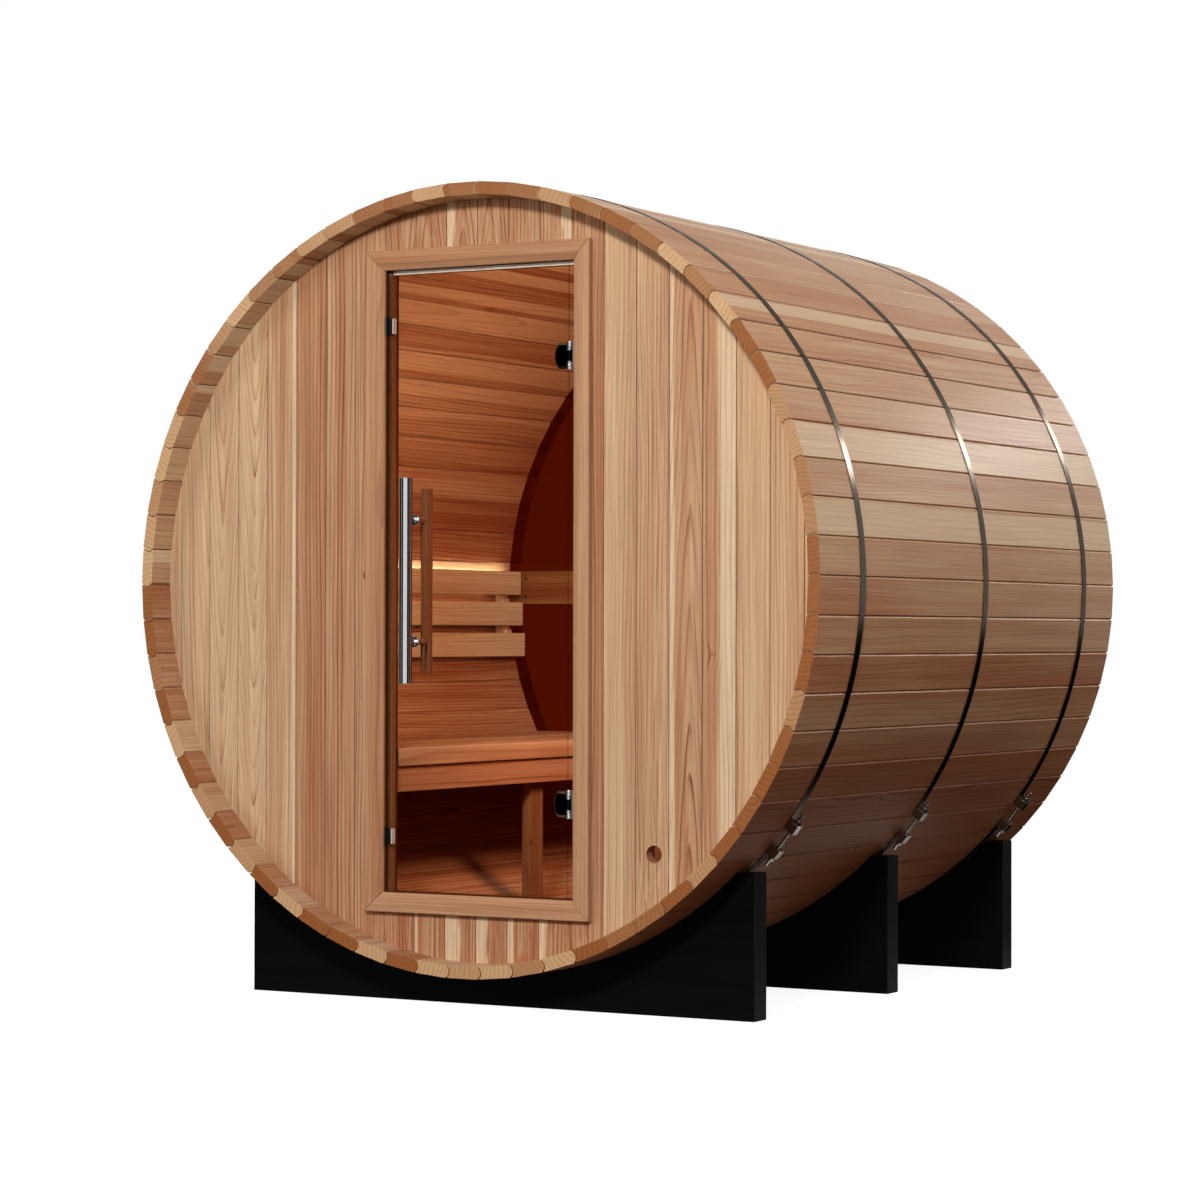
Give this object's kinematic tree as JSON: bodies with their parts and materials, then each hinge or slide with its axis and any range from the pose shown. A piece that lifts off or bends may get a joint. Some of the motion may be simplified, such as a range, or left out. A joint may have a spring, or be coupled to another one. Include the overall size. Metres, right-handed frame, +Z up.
{
  "type": "barrel sauna",
  "caption": "Cedar barrel hut lying on dark cradles, with a hinged glass door in the front wall, a tinted glass rear wall, steel bands, and a bench with a backrest inside.",
  "frame": {"origin": "at ground level under the middle of the barrel", "axes": "+Z up, +X to the right across the front wall, +Y from the front to the rear along the barrel"},
  "size_m": [1.8433, 1.735, 1.9152],
  "materials": {
    "cedar_stave": "planed, bare",
    "cedar_wall": "planed, bare",
    "cedar_trim": "sanded, bare",
    "cedar_bench": "sanded, bare",
    "band_steel": "bare stainless",
    "polished_steel": "polished",
    "catch_black": "moulded",
    "clear_glass": "clear, toughened",
    "tinted_glass": "bronze tint, toughened",
    "lamp": "warm diffuser",
    "cradle_black": "black stain"
  },
  "bodies": {
    "cabin": {"staves_01": "cedar_stave", "staves_02": "cedar_stave", "staves_03": "cedar_stave", "staves_04": "cedar_stave", "staves_05": "cedar_stave", "staves_06": "cedar_stave", "staves_07": "cedar_stave", "staves_08": "cedar_stave", "staves_09": "cedar_stave", "staves_10": "cedar_stave", "staves_11": "cedar_stave", "front_wall_left": "cedar_wall", "front_wall_right": "cedar_wall", "front_wall_top": "cedar_wall", "front_wall_bottom": "cedar_wall", "door_jamb": "cedar_trim", "door_casing": "cedar_trim", "hinge_leaf_upper": "polished_steel", "hinge_leaf_lower": "polished_steel", "door_stops": "cedar_trim", "door_catches": "catch_black", "rear_glass_upper": "tinted_glass", "rear_glass_lower": "tinted_glass", "rear_rail": "cedar_trim", "bench_seat": "cedar_bench", "bench_apron": "cedar_bench", "bench_bearers": "cedar_bench", "bench_legs": "cedar_bench", "backrest_slats": "cedar_bench", "backrest_cleats": "cedar_bench", "light_strip": "lamp", "band_front": "band_steel", "band_middle": "band_steel", "band_rear": "band_steel", "clamp_front": "band_steel", "clamp_middle": "band_steel", "clamp_rear": "band_steel", "cradle_front": "cradle_black", "cradle_middle": "cradle_black", "cradle_rear": "cradle_black"},
    "door": {"door_glass": "clear_glass", "door_hinge_plates": "polished_steel", "door_strikes": "polished_steel", "door_handle_outer": "polished_steel", "door_handle_inner": "cedar_trim"}
  },
  "joints": [
    {"name": "door_hinge", "type": "hinge", "parent": "cabin", "child": "door", "pos_m": [0.246, -0.7975, 0.9935], "axis": [0, 0, 1], "range_deg": [0, 105]}
  ]
}
